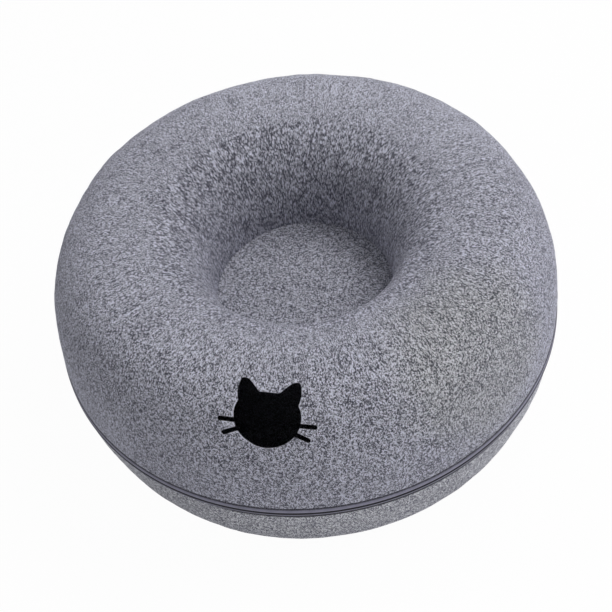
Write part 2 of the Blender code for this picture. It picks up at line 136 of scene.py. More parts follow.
def offset(line, distance):
    """The line moved sideways: each point plus distance times the left normal of the way there,
    which is the central difference of its neighbours turned by a quarter."""
    way = np.gradient(line, axis=0)
    way /= np.linalg.norm(way, axis=1, keepdims=True)
    return line + distance * np.stack([-way[:, 1], way[:, 0]], axis=1)


def graded(length, low, high, fine, coarse):
    """Distances from 0 to length, fine apart between low and high and coarse apart elsewhere."""
    parts = [np.linspace(0.0, low, max(2, round(low / coarse)), endpoint=False),
             np.linspace(low, high, max(2, round((high - low) / fine)), endpoint=False),
             np.linspace(high, length, max(2, round((length - high) / coarse)) + 1)]
    return np.concatenate(parts)


def turned(section, angles):
    """Surface of revolution: every (radius, height) of the section at every angle about Z."""
    radius = section[:, None, 0]
    height = np.broadcast_to(section[:, None, 1], (len(section), len(angles)))
    return np.stack([radius * np.cos(angles), radius * np.sin(angles), height], axis=2)


def add_object(name, data):
    thing = bpy.data.objects.new(name, data)
    bpy.context.scene.collection.objects.link(thing)
    return thing


def add_mesh(name, points, faces, finishes, finish_of_face=None):
    """A mesh object at the origin, with smooth faces and its finishes."""
    mesh = bpy.data.meshes.new(name)
    faces = np.asarray(faces, dtype=np.int32)
    corners = faces.shape[1]
    mesh.vertices.add(len(points))
    mesh.vertices.foreach_set("co", np.asarray(points, dtype=np.float32).ravel())
    mesh.loops.add(faces.size)
    mesh.loops.foreach_set("vertex_index", faces.ravel())
    mesh.polygons.add(len(faces))
    mesh.polygons.foreach_set("loop_start", np.arange(len(faces), dtype=np.int32) * corners)
    mesh.polygons.foreach_set("loop_total", np.full(len(faces), corners, dtype=np.int32))
    for finish in finishes:
        mesh.materials.append(finish)
    if finish_of_face is not None:
        mesh.polygons.foreach_set("material_index", finish_of_face.astype(np.int32))
    mesh.update(calc_edges=True)
    mesh.validate()
    mesh.shade_smooth()
    return add_object(name, mesh)


def grid_faces(rows, columns, close_rows, close_columns):
    """Quads between neighbouring rows and columns, round again to the first where they close."""
    i = np.arange(rows if close_rows else rows - 1)
    j = np.arange(columns if close_columns else columns - 1)
    i, j = np.meshgrid(i, j, indexing="ij")
    i, j = i.ravel(), j.ravel()
    up, right = (i + 1) % rows, (j + 1) % columns
    return np.stack([i * columns + j, up * columns + j, up * columns + right,
                     i * columns + right], axis=1)


def outward(points, faces):
    """The faces, turned over where the volume that they enclose comes out negative: the sum of
    each corner's triple product with the next two."""
    a, b, c = (points[faces[:, k]] for k in (0, 1, 2))
    volume = np.einsum("ij,ij->i", a, np.cross(b, c)).sum()
    if faces.shape[1] == 4:
        d = points[faces[:, 3]]
        volume += np.einsum("ij,ij->i", a, np.cross(c, d)).sum()
    return faces[:, ::-1] if volume < 0 else faces


def add_ring(name, section, angles, finishes, relief=None, row_finish=None):
    """A closed section turned all the way round, moved by its relief where it has one."""
    grid = turned(section, angles)
    rows, columns = grid.shape[:2]
    points = grid.reshape(-1, 3)
    if relief is not None:
        points = relief(points, np.repeat(np.arange(rows), columns))
    faces = outward(points, grid_faces(rows, columns, True, True))
    of_face = None if row_finish is None else np.repeat(row_finish, columns)
    return add_mesh(name, points, faces, finishes, of_face)


def tubes(paths, width, sides):
    """Tubes along many paths of equal point counts, shape (count, points, 3): round each point lie
    sides corners at width, on two axes square to the way along, and the first and last rings draw
    to a point."""
    count, steps = paths.shape[:2]
    way = np.gradient(paths, axis=1)
    way /= np.linalg.norm(way, axis=2, keepdims=True)
    helper = np.array([0.31, 0.17, 0.93])
    first = np.cross(way, helper)
    first /= np.linalg.norm(first, axis=2, keepdims=True)
    second = np.cross(way, first)
    turn = np.arange(sides) * 2 * math.pi / sides
    thick = np.array(np.broadcast_to(width, (count, steps)), dtype=float)[:, :, None, None]
    thick[:, [0, -1]] = 0.0
    corner = (first[:, :, None] * np.cos(turn)[:, None]
              + second[:, :, None] * np.sin(turn)[:, None])
    points = paths[:, :, None] + corner * thick
    faces = grid_faces(steps, sides, False, True)
    start = np.arange(count) * steps * sides
    return points.reshape(-1, 3), (faces[None] + start[:, None, None]).reshape(-1, 4)


# Materials

class Number:
    """A value in a material. Arithmetic on it adds the Math nodes that work it out."""

    def __init__(self, finish, socket):
        self.finish = finish
        self.socket = socket

    def worked(self, operation, first, second=0.0):
        return self.finish.node("ShaderNodeMath", {"operation": operation}, {0: first, 1: second})

    def __add__(self, other):
        return self.worked("ADD", self, other)

    __radd__ = __add__

    def __sub__(self, other):
        return self.worked("SUBTRACT", self, other)

    def __rsub__(self, other):
        return self.worked("SUBTRACT", other, self)

    def __mul__(self, other):
        return self.worked("MULTIPLY", self, other)

    __rmul__ = __mul__

    def __truediv__(self, other):
        return self.worked("DIVIDE", self, other)

    def __pow__(self, other):
        return self.worked("POWER", self, other)

    def sine(self):
        return self.worked("SINE", self)

    def size(self):
        return self.worked("ABSOLUTE", self)

    def over(self, other):
        return self.worked("MAXIMUM", self, other)

    def step(self, low, high, start=0.0, end=1.0):
        """Rises smoothly from start to end between low and high."""
        return self.finish.node("ShaderNodeMapRange", {"interpolation_type": "SMOOTHSTEP"},
                                {"Value": self, "From Min": low, "From Max": high,
                                 "To Min": start, "To Max": end})


class Finish:
    """A material with one Principled shader and the nodes that feed it."""

    def __init__(self, name, **uniform):
        self.material = bpy.data.materials.new(name)
        self.material.use_nodes = True
        self.tree = self.material.node_tree
        self.shader = self.tree.nodes["Principled BSDF"]
        for socket, value in uniform.items():
            self.feed(socket.replace("_", " ").title().replace("Ior", "IOR"), value)
        self.place = self.node("ShaderNodeTexCoord", output="Object")

    def node(self, kind, settings=None, sockets=None, output=None):
        """Adds a node: its settings, then the values or links of its sockets; gives one output."""
        node = self.tree.nodes.new(kind)
        for name, value in (settings or {}).items():
            setattr(node, name, value)
        for name, value in (sockets or {}).items():
            target = node.inputs[name] if isinstance(name, int) else next(
                socket for socket in node.inputs if socket.name == name and socket.enabled)
            self.connect(target, value)
        shown = [socket for socket in node.outputs if socket.enabled]
        return Number(self, shown[0] if output is None else node.outputs[output])

    def connect(self, target, value):
        if isinstance(value, Number):
            self.tree.links.new(value.socket, target)
        else:
            target.default_value = value

    def feed(self, socket, value):
        self.connect(self.shader.inputs[socket], value)

    def noise(self, size, place=None, detail=2.0, roughness=0.5, distortion=0.0):
        """Cloudy noise from 0 to 1 whose lumps are about size across."""
        return self.node("ShaderNodeTexNoise", None,
                         {"Vector": place or self.place, "Scale": 1 / size, "Detail": detail,
                          "Roughness": roughness, "Distortion": distortion}, "Fac")

    def uneven(self, size, reach, detail=2.0):
        """Cloudy noise about nought, reach from its lowest to its highest."""
        return (self.noise(size, detail=detail) - 0.5) * reach

    def lumps(self, size, place=None):
        """One chance value from 0 to 1 for each little lump about size across."""
        cells = self.node("ShaderNodeTexVoronoi", None,
                          {"Vector": place or self.place, "Scale": 1 / size}, "Color")
        return self.node("ShaderNodeSeparateColor", None, {0: cells})

    def away_from(self, spot):
        """Distance from a spot on the object."""
        return self.node("ShaderNodeVectorMath", {"operation": "DISTANCE"},
                         {0: self.place, 1: spot}, "Value")

    def attribute(self, name):
        """A value that the mesh holds at each of its points."""
        return self.node("ShaderNodeAttribute", {"attribute_name": name}, output="Fac")

    def strands(self, length, width, turn, wander=1.2):
        """Noise drawn out along one direction, as fibres that lie that way."""
        place = self.node("ShaderNodeMapping", {"vector_type": "TEXTURE"},
                          {"Vector": self.place, "Rotation": turn,
                           "Scale": (length, width, width)})
        return self.noise(1.0, place, detail=1.0, distortion=wander)

    def crossed(self, turns):
        """Where a strand shows in any of these directions."""
        most = None
        for turn in turns:
            strand = self.strands(STRAND_LENGTH, STRAND_WIDTH, turn).step(*STRAND_SHOWS)
            most = strand if most is None else most.over(strand)
        return most

    def blend(self, share, first, second):
        return self.node("ShaderNodeMix", {"data_type": "RGBA"},
                         {"Factor": share, "A": first, "B": second}, 2)

    def bump(self, height, strength, depth):
        self.feed("Normal", self.node("ShaderNodeBump", None, {
            "Height": height, "Strength": strength, "Distance": depth}))

    def split(self):
        """Object x, y and z as three values."""
        node = self.tree.nodes.new("ShaderNodeSeparateXYZ")
        self.tree.links.new(self.place.socket, node.inputs[0])
        return [Number(self, socket) for socket in node.outputs]


def colour(red, green, blue):
    """Linear colour from the 0 to 255 steps of a screen."""
    def linear(step):
        share = step / 255
        return share / 12.92 if share <= 0.04045 else ((share + 0.055) / 1.055) ** 2.4
    return (linear(red), linear(green), linear(blue), 1.0)


# Felt fibres
TUFT = 0.0009
FLOOR_TUFT = 0.0012
CURL = 0.0011
CLUMP = 0.0045
CLOUD = 0.032
FRAY_SCALE = 1400.0
FRAY_REACH = 0.0016
STRAND_LENGTH = 0.0036
STRAND_WIDTH = 0.00045
STRAND_TURNS = [(0.2, 0.4, 0.1), (0.9, -0.5, 1.3), (-0.6, 0.8, 2.2), (1.4, 0.2, -0.9),
                (0.5, 1.1, 0.7), (-1.1, -0.3, 1.8), (0.7, -1.2, 2.7), (-0.3, 0.6, -1.6)]
STRAND_SHOWS = (0.55, 0.70)
RING_COMBING = 0.25
WELL_COMBING = 0.12
WELL_EDGE = (0.1650, 0.1652)

# How much tufts, curls, clumps, strands and clouds change the tone, and how high they stand
TUFT_TONE, CURL_TONE, CLUMP_TONE, STRAND_TONE, CLOUD_TONE = 2.1, 1.4, 0.3, 0.5, 0.25
TUFT_HEIGHT, CURL_HEIGHT, CLUMP_HEIGHT, PALE_HEIGHT, DEEP_HEIGHT = 0.4, 0.8, 0.6, 0.7, 0.5
TONE_CURVE = 1.35

# Painted light and shade on the felt, paler at the back, low on the flanks and at a cut's lip and
# darker in the well: between two places, its tone changes by these two amounts
WELL_PAINTED_SHADE = (0.13, 0.19, -0.12, 0.0)
BACK_PAINTED_LIGHT = (0.09, 0.21, 0.0, 0.09)
LEFT_PAINTED_LIGHT = (0.150, 0.205, 0.24, 0.0)
RIGHT_PAINTED_LIGHT = (0.140, 0.200, 0.14, -0.05)
LIP_PAINTED_HIGHLIGHT = 0.9

# Contrast towards the back, the right flank's direction and the cosines where each flank starts
BACK_CONTRAST = (-0.10, 0.11, 1.0, 0.50)
FLANK = (0.906, 0.423)
LEFT_FLANK, RIGHT_FLANK = (0.90, 0.98), (0.80, 0.95)

# Olive dye, and the painted shade on the lower felt's edge under the zipper bead: where they lie
# and their shades
OLIVE_PLACE = (0.165, -0.205, 0.215)
OLIVE_EDGE = (0.055, 0.125)
OLIVE_DARK, OLIVE_LIGHT = colour(60, 61, 67), colour(222, 223, 227)
EDGE_SHADOW_BAND = (-0.0020, -0.0010)
EDGE_SHADOW_SHADE = colour(24, 24, 32)


def combed_place(felt, x, y, z, radius, combed):
    """Place for fibres that lie combed times longer than wide, down the slope from the crest: round
    the ring the direction from the middle, along the slope height less distance from the crest. In
    the well they are drawn out twice as far. The two meet on a ragged line."""
    slope = z - (radius - CREST_RADIUS).size()
    outer, inner = (felt.node("ShaderNodeCombineXYZ", None,
                              {0: x / radius * share, 1: y / radius * share, 2: slope / longer})
                    for share, longer in ((RING_COMBING, combed), (WELL_COMBING, 2 * combed)))
    well = (radius + felt.uneven(0.006, 0.03)).step(*WELL_EDGE, 1.0, 0.0)
    return felt.blend(well, outer, inner)


def felt_finish(name, dark, light, combed=0.0, tuft_size=TUFT, contrast=1.0, shaded_edge=False):
    """Heather needle felt: fibres of their own shade that cross in all directions, tufts and soft
    clouds. Combed felt is calmer at the back; painted light makes it paler at the back, on its
    flanks and at the lip of a cut, and painted shade darkens it in the well. A shaded edge is
    painted shade along the zipper at the front, where the bead shadows the felt."""
    felt = Finish(name, roughness=0.92, sheen_weight=0.40, sheen_roughness=0.4,
                  sheen_tint=(0.80, 0.80, 1.0, 1.0), specular_ior_level=0.25)
    lie = felt.place
    if combed:
        x, y, z = felt.split()
        radius = (x * x + y * y) ** 0.5
        lie = combed_place(felt, x, y, z, radius, combed)
    frayed = felt.node("ShaderNodeTexNoise", None,
                       {"Vector": felt.place, "Scale": FRAY_SCALE, "Detail": 1.0}, "Color")
    lie = felt.node("ShaderNodeVectorMath", {"operation": "MULTIPLY_ADD"},
                    {0: frayed, 1: (FRAY_REACH,) * 3, 2: lie})
    tuft = felt.lumps(tuft_size, lie)
    curl = felt.noise(CURL, lie, distortion=1.0)
    clump = felt.noise(CLUMP, distortion=0.6)
    pale, deep = felt.crossed(STRAND_TURNS[:4]), felt.crossed(STRAND_TURNS[4:])
    grain = ((tuft - 0.5) * TUFT_TONE + (curl - 0.5) * CURL_TONE + (clump - 0.5) * CLUMP_TONE
             + pale * STRAND_TONE - deep * STRAND_TONE)
    grain = grain * (y.step(*BACK_CONTRAST) if combed else contrast)
    tone = 0.5 + grain + felt.uneven(CLOUD, CLOUD_TONE)
    if combed:
        left = ((x * -FLANK[0] - y * FLANK[1]) / radius).step(*LEFT_FLANK)
        right = ((x * FLANK[0] - y * FLANK[1]) / radius).step(*RIGHT_FLANK)
        # Painted highlight at the lip of the peephole's cut
        tone = tone + felt.attribute("lip") * LIP_PAINTED_HIGHLIGHT
        # Painted shade in the well, painted light at the back, painted light and shade on the
        # flanks
        tone = tone + radius.step(*WELL_PAINTED_SHADE) + (x * 0.4 + y).step(*BACK_PAINTED_LIGHT)
        tone = tone + left * z.step(*LEFT_PAINTED_LIGHT) + right * z.step(*RIGHT_PAINTED_LIGHT)
    share = tone.step(0.0, 1.0) ** TONE_CURVE
    dyed = felt.away_from(OLIVE_PLACE) + felt.uneven(0.05, 0.05)
    shade = felt.blend(dyed.step(*OLIVE_EDGE, 0.8, 0.0), felt.blend(share, dark, light),
                       felt.blend(share, OLIVE_DARK, OLIVE_LIGHT))
    # Painted shade on the lower felt's top edge at the front, where the zipper bead shadows it
    if shaded_edge:
        below = z - (ZIPPER_HEIGHT - SHOWS_BELOW + felt.uneven(0.0016, 0.0010, detail=1.0))
        edge_shadow = below.step(*EDGE_SHADOW_BAND) * in_front(x, y) * 0.9
        shade = felt.blend(edge_shadow, shade, EDGE_SHADOW_SHADE)
    felt.feed("Base Color", shade)
    height = (tuft * TUFT_HEIGHT + curl * CURL_HEIGHT + pale * PALE_HEIGHT
              - deep * DEEP_HEIGHT + clump * CLUMP_HEIGHT)
    felt.bump(height, 0.6, 0.0008)
    return felt.material


def cut_finish(name):
    """The cut through the felt round the peephole: painted shade, near black, with a painted
    highlight that makes its outermost millimetre pale.
    """
    cut = Finish(name, roughness=0.95, specular_ior_level=0.1)
    tuft = cut.lumps(TUFT)
    outer = cut.attribute("lip") + (tuft - 0.5) * 0.3
    # Painted shade deep in the cut, painted highlight on its outer edge
    deep = cut.blend(tuft, colour(6, 6, 8), colour(22, 22, 26))
    pale = cut.blend(tuft, colour(120, 120, 130), colour(200, 200, 210))
    cut.feed("Base Color", cut.blend(outer.step(0.62, 0.95), deep, pale))
    cut.bump(tuft, 0.5, 0.0005)
    return cut.material


FRONT_LEAN, FRONT_EDGE = 0.17, (0.78, 0.90)


def in_front(x, y):
    """One at the front of the ring and a little to the right of it, nought elsewhere: a step in the
    cosine of the angle from there."""
    return ((x * FRONT_LEAN - y) / (x * x + y * y) ** 0.5).step(*FRONT_EDGE)


# Zipper tape
RIBS_PER_RADIAN = 2900
WALE_PITCH = 0.0007
# Painted shade on the tape under the felt's edge, under the bead in front and in the split, and a
# painted highlight on the lips beside the split
UNDER_EDGE_SHADOW = (SHOWS_ABOVE - 0.0027, SHOWS_ABOVE - 0.0011)
UNDER_BEAD_SHADOW = (-0.0033, -0.0025, 1.0, 0.0)
SPLIT_SHADOW = (0.0014, 0.0018, 1.0, 0.0)
SPLIT_HIGHLIGHT = (0.0026, 0.0036, 0.3, 0.0)
TAPE_SHADOW_SHADE = colour(10, 10, 16)
SPLIT_LIP_HIGHLIGHT = colour(186, 185, 204)


def tape_finish(name, tone):
    """Woven tape: fine ribs round the ring crossed by finer ones up the tape, with a soft sheen.
    Painted shade darkens it under the felt's edge, under the bead in front and in the split, and a
    painted highlight makes it pale beside the split."""
    tape = Finish(name, roughness=0.7, sheen_weight=0.15, sheen_tint=(0.85, 0.85, 1.0, 1.0))
    x, y, z = tape.split()
    round_ring = tape.node("ShaderNodeMath", {"operation": "ARCTAN2"}, {0: y, 1: x})
    ribs = (round_ring * RIBS_PER_RADIAN).sine() * 0.5 + 0.5
    wale = (z * (2 * math.pi / WALE_PITCH)).sine() * 0.5 + 0.5
    weave = ribs * 0.6 + wale * 0.4
    low = colour(*(0.78 * step for step in tone))
    high = colour(*(1.15 * step for step in tone))
    share = (weave * 0.7 + tape.uneven(0.012, 0.8, detail=3.0) + 0.15).step(0.0, 1.0)
    above = z - ZIPPER_HEIGHT + tape.uneven(0.0016, 0.0012, detail=1.0)
    bead_shadow = above.step(*UNDER_BEAD_SHADOW) * in_front(x, y)
    from_split = (z - ZIPPER_HEIGHT - SPLIT_RISE).size()
    # Woven tone with the painted highlight beside the split
    woven_and_highlight = tape.blend(from_split.step(*SPLIT_HIGHLIGHT), tape.blend(share, low, high), SPLIT_LIP_HIGHLIGHT)
    # Painted shade under the felt's edge, under the bead and in the split
    dark = (above.step(*UNDER_EDGE_SHADOW) * 0.85).over(bead_shadow).over(from_split.step(*SPLIT_SHADOW))
    tape.feed("Base Color", tape.blend(dark * 0.97, woven_and_highlight, TAPE_SHADOW_SHADE))
    tape.bump(weave, 0.5, 0.00015)
    return tape.material


def coil_finish():
    """Dark moulded nylon, a little glossy, with faint draw lines."""
    coil = Finish("coil_nylon", specular_ior_level=0.5)
    haze = coil.noise(0.0006, detail=2.0)
    coil.feed("Base Color", coil.blend(haze, colour(38, 38, 44), colour(62, 62, 70)))
    coil.feed("Roughness", haze * 0.25 + 0.32)
    coil.bump(haze, 0.2, 0.00005)
    return coil.material


def metal_finish(name, low, high):
    """Satin grey enamel over metal: fine orange peel, and bright rubbed specks."""
    metal = Finish(name, specular_ior_level=0.5)
    peel = metal.noise(0.0008, detail=3.0)
    rubbed = metal.noise(0.0035, detail=4.0, roughness=0.7).step(0.60, 0.72)
    enamel = metal.blend(peel, colour(*low), colour(*high))
    metal.feed("Base Color", metal.blend(rubbed * 0.6, enamel, colour(178, 178, 184)))
    metal.feed("Metallic", rubbed * 0.5 + 0.35)
    metal.feed("Roughness", peel * 0.2 + 0.26 - rubbed * 0.06)
    metal.bump(peel, 0.15, 0.00006)
    return metal.material


OUTSIDE_FELT = felt_finish("heather_felt", colour(62, 62, 74), colour(227, 228, 243), combed=2.0)
# The lower felt is a lighter copy of the same felt: painted light from below
LOWER_FELT_LIT = felt_finish("heather_felt_lower_lit", colour(84, 84, 100), colour(250, 251, 255),
                         combed=1.6, shaded_edge=True)
FLOOR_FELT = felt_finish("heather_felt_floor", colour(72, 72, 84), colour(220, 221, 234),
                         tuft_size=FLOOR_TUFT, contrast=0.8)
# The inside of the felt is a darker copy of the same felt: painted shade
INSIDE_FELT_SHADED = felt_finish("felt_inside_shaded", colour(48, 48, 58), colour(170, 170, 184))
EDGE_FELT = felt_finish("felt_cut_edge", colour(96, 96, 106), colour(214, 214, 224))
SHADE_FELT = cut_finish("felt_cut_shade")
TAPE_CLOTH = tape_finish("tape_cloth", (132, 131, 150))
COIL_NYLON = coil_finish()
METAL = metal_finish("zipper_enamel", (84, 84, 92), (112, 112, 122))


# Outlines that the felt is cut to

def bowed(start, end, bow, steps=9):
    """Points from start up to but not at end, moved to the right of the way by a parabola that
    reaches bow halfway."""
    start, end = np.array(start), np.array(end)
    share = np.arange(steps)[:, None] / steps
    way = (end - start) / np.linalg.norm(end - start)
    side = np.array([way[1], -way[0]])
    return start + (end - start) * share + side * 4 * bow * share * (1 - share)


def arc(centre, radii, start, end, steps):
    """Points on an ellipse from one angle to another."""
    turn = np.linspace(start, end, steps + 1)
    return np.array(centre) + np.stack([radii[0] * np.cos(turn), radii[1] * np.sin(turn)], axis=1)


def head_outline():
    """Half a superellipse for the chin, then cheek, outer ear, tip, inner ear and brow as bowed
    lines."""
    jaw, notch = (0.0341, -0.0025), (0.0306, 0.0144)
    tip, tip_inside, ear_inside = (0.0301, 0.0358), (0.0228, 0.0356), (0.0105, 0.0246)
    turn = np.linspace(math.pi, 2 * math.pi, 61)[1:-1]
    across, down = np.cos(turn), -np.sin(turn)
    chin = np.stack([jaw[0] * np.sign(across) * np.abs(across) ** CHIN_FULLNESS,
                     jaw[1] - CHIN_DEPTH * down ** CHIN_FULLNESS], axis=1)
    right = np.vstack([bowed(jaw, notch, CHEEK_BOW), bowed(notch, tip, EAR_BOW),
                       bowed(tip, tip_inside, TIP_BOW, 4),
                       bowed(tip_inside, ear_inside, INNER_EAR_BOW), [ear_inside]])
    left = right[::-1] * (-1, 1)
    return np.vstack([chin, right, bowed(ear_inside, left[0], BROW_BOW)[1:], left])


def whisker_outlines():
    """Four slits with round ends."""
    radii = (WHISKER_THICKNESS / 2, WHISKER_THICKNESS / 2)
    for root, tip in WHISKERS:
        heading = math.atan2(tip[1] - root[1], tip[0] - root[0])
        quarter_turn = math.pi / 2
        far = arc(tip, radii, heading - quarter_turn, heading + quarter_turn, 14)
        near = arc(root, radii, heading + quarter_turn, heading + 3 * quarter_turn, 14)
        yield np.vstack([far, near])


def prism(name, outline, low, high, place, finishes):
    """The outline at two depths, joined by a wall and closed by two flat faces."""
    count = len(outline)
    flat = [np.column_stack([outline, np.full(count, depth)]) for depth in (low, high)]
    points = np.vstack(flat)
    j = np.arange(count)
    k = (j + 1) % count
    mesh = bpy.data.meshes.new(name)
    walls = np.stack([j, k, k + count, j + count], axis=1).tolist()
    mesh.from_pydata(points.tolist(), [], walls + [j[::-1].tolist(), (j + count).tolist()])
    mesh.transform(place)
    mesh.update()
    for finish in finishes:
        mesh.materials.append(finish)
    return add_object(name, mesh)


def peephole_place():
    """Frame on the outside of the dome: x round to the right, y up the slope, z outwards."""
    wall, crest = (RING_RADIUS, ZIPPER_HEIGHT), (CREST_RADIUS, RING_HEIGHT)
    turn = turn_at(wall, crest, DOME_FULLNESS, PEEPHOLE_HEIGHT)
    radius, height = quarter(wall, crest, DOME_FULLNESS, np.array([turn]))[0]
    inward = (wall[0] - crest[0]) * math.cos(turn) ** (DOME_FULLNESS - 1) * math.sin(turn)
    upward = (crest[1] - wall[1]) * math.sin(turn) ** (DOME_FULLNESS - 1) * math.cos(turn)
    lean = math.atan2(inward, upward)
    return (Matrix.Rotation(PEEPHOLE_AZIMUTH, 4, "Z") @ Matrix.Translation((0.0, -radius, height))
            @ Matrix.Rotation(math.pi / 2 - lean, 4, "X") @ Matrix.Rotation(PEEPHOLE_TILT, 4, "Z")
            @ Matrix.Translation((*PEEPHOLE_SHIFT, 0.0)))


def boolean(piece, cutter, operation):
    """Cuts or joins with the exact solver and keeps the result as plain mesh."""
    change = piece.modifiers.new("cut", "BOOLEAN")
    change.operation = operation
    change.solver = "EXACT"
    change.material_mode = "TRANSFER"
    change.object = cutter
    shown = piece.evaluated_get(bpy.context.evaluated_depsgraph_get())
    mesh = bpy.data.meshes.new_from_object(shown)
    piece.modifiers.clear()
    piece.data = mesh
    bpy.data.objects.remove(cutter, do_unlink=True)


def mesh_points(mesh):
    points = np.empty(len(mesh.vertices) * 3, dtype=np.float32)
    mesh.vertices.foreach_get("co", points)
    return points.reshape(-1, 3).astype(float)


# Felt

UPPER_WALL, CREST = (RING_RADIUS, ZIPPER_HEIGHT), (CREST_RADIUS, RING_HEIGHT)
STEPS = 600
FINE_STEP, COARSE_STEP = 0.0014, 0.0048
FINE_COLUMNS, COARSE_COLUMNS = 92, 300
LOWER_STEPS, LOWER_ROWS, LOWER_COLUMNS = 300, 96, 400
UPPER_INSIDE_STEP, LOWER_INSIDE_STEP = 0.012, 0.010

# Relief of the felt: height, seed and wave length
RELIEF = [(0.0003, 3, 0.110), (0.0002, 5, 0.038), (0.00012, 7, 0.014)]
LOWER_RELIEF_SHARE = 0.8
STEADY_REACH = 0.012

# Felt floor: rows above and below, columns, the middle that the fans close, how far the top sinks,
# how far from the wall that starts and over what width, and its relief
FLOOR_ROWS, FLOOR_UNDER_ROWS, FLOOR_COLUMNS, FLOOR_POLE = 60, 12, 240, 0.0005
FLOOR_SAG, FLOOR_SAG_START, FLOOR_SAG_WIDTH = 0.0006, 0.002, 0.02
FLOOR_RELIEF = [(0.0006, 11, 0.060), (0.0002, 12, 0.015)]

# Cuts: how far each cutter goes past the felt, and where the entrance's one starts
PEEPHOLE_OVERRUN, WHISKER_OVERRUN = 0.020, 0.0195
ENTRANCE_START = RING_RADIUS + 0.02

# Edge of the peephole: the box it lies in, how far and deep it is pressed in, how wide its painted
# highlight is, and how deep the outside of the felt can lie there: more so further up and down the
# slope
PEEPHOLE_BOX = ((-0.056, -0.044, -0.006), (0.056, 0.044, 0.008))
PRESS_REACH = 0.0024
PRESS_DEPTH = 0.0005
LIP_REACH = 0.0014
LIP_START = 1.3
SKIN_DEPTH, SKIN_FALL, SKIN_SPAN = 0.003, 0.004, 0.04


def rounded_corner(before, corner, after, reach, steps=4):
    """A corner cut back by reach on both sides and bridged by a parabola through three points."""
    before, corner, after = (np.array(p, dtype=float) for p in (before, corner, after))
    start = corner + (before - corner) / np.linalg.norm(before - corner) * reach
    end = corner + (after - corner) / np.linalg.norm(after - corner) * reach
    share = np.linspace(0.0, 1.0, steps + 1)[:, None]
    return (1 - share) ** 2 * start + 2 * share * (1 - share) * corner + share ** 2 * end


def walled(outside, distance, coarse):
    """A closed section: the outside line, the line distance to its side, spaced coarsely, and the
    four corners between them rounded."""
    fine = respaced(outside, np.linspace(0.0, line_length(outside), 400))
    inside = offset(fine, distance)
    inside[0, 1], inside[-1, 1] = outside[0, 1], outside[-1, 1]
    keep = np.linspace(0.0, line_length(inside), round(line_length(inside) / coarse))
    inside = respaced(inside, keep)[::-1]
    corners = [rounded_corner(outside[-3], outside[-1], inside[0], EDGE_ROUND),
               rounded_corner(outside[-1], inside[0], inside[1], EDGE_ROUND),
               rounded_corner(inside[-2], inside[-1], outside[0], EDGE_ROUND),
               rounded_corner(inside[-1], outside[0], outside[2], EDGE_ROUND)]
    section = np.vstack([outside[1:-1], *corners[:2], inside[1:-1], *corners[2:]])
    inner = np.zeros(len(section), dtype=int)
    first = len(outside) - 2 + len(corners[0]) + len(corners[1])
    inner[first - 1:first + len(inside) - 2] = 1
    return section, inner


def upper_line():
    """Up the outer wall, over the crest and down the well, finest where the peephole is."""
    edge = ZIPPER_HEIGHT + SHOWS_ABOVE
    dome = quarter(UPPER_WALL, CREST, DOME_FULLNESS,
                   np.linspace(turn_at(UPPER_WALL, CREST, DOME_FULLNESS, edge), math.pi / 2, STEPS))
    well = quarter((WELL_RADIUS, FLOOR_HEIGHT - SEAT_SINK), CREST, WELL_FULLNESS,
                   np.linspace(math.pi / 2, 0.0, STEPS))[1:]
    line = np.vstack([dome, well])
    place = np.cumsum(np.linalg.norm(np.diff(dome, axis=0), axis=1))
    middle = float(np.interp(PEEPHOLE_HEIGHT, dome[1:, 1], place))
    steps = graded(line_length(line), middle - PEEPHOLE_REACH, middle + PEEPHOLE_REACH,
                   FINE_STEP, COARSE_STEP)
    return respaced(line, steps)


def column_angles():
    """Angles round the ring, finest across the peephole."""
    middle = -math.pi / 2 + PEEPHOLE_AZIMUTH
    start, end = middle - PEEPHOLE_SPAN, middle + PEEPHOLE_SPAN
    fine = np.linspace(start, end, FINE_COLUMNS, endpoint=False)
    rest = np.linspace(end, start + 2 * math.pi, COARSE_COLUMNS, endpoint=False)
    return np.concatenate([fine, rest])


def felt_relief(points, relief, strength=1.0):
    """How far the felt swells or sinks, by the waves of a relief."""
    return strength * sum(height * waves(points, seed, size) for height, seed, size in relief)


def steady_share(section, *levels):
    """Nought at the given heights, rising to one 12 mm away from them."""
    away = np.min([np.abs(section[:, 1] - level) for level in levels], axis=0)
    return np.clip(away / STEADY_REACH, 0.0, 1.0)


def section_normals(section):
    """Outward normal at each point of a closed section: the way between its two neighbours, turned
    by a quarter."""
    way = np.roll(section, -1, axis=0) - np.roll(section, 1, axis=0)
    way /= np.linalg.norm(way, axis=1, keepdims=True)
    return np.stack([way[:, 1], -way[:, 0]], axis=1)


def moved_out(points, rows, section, amount):
    """Each point moved by amount along the outward normal of its own row of the section."""
    normal = section_normals(section)[rows]
    radius = np.hypot(points[:, 0], points[:, 1])[:, None]
    flat = points[:, :2] / radius
    return points + amount[:, None] * np.column_stack([flat * normal[:, :1], normal[:, 1]])


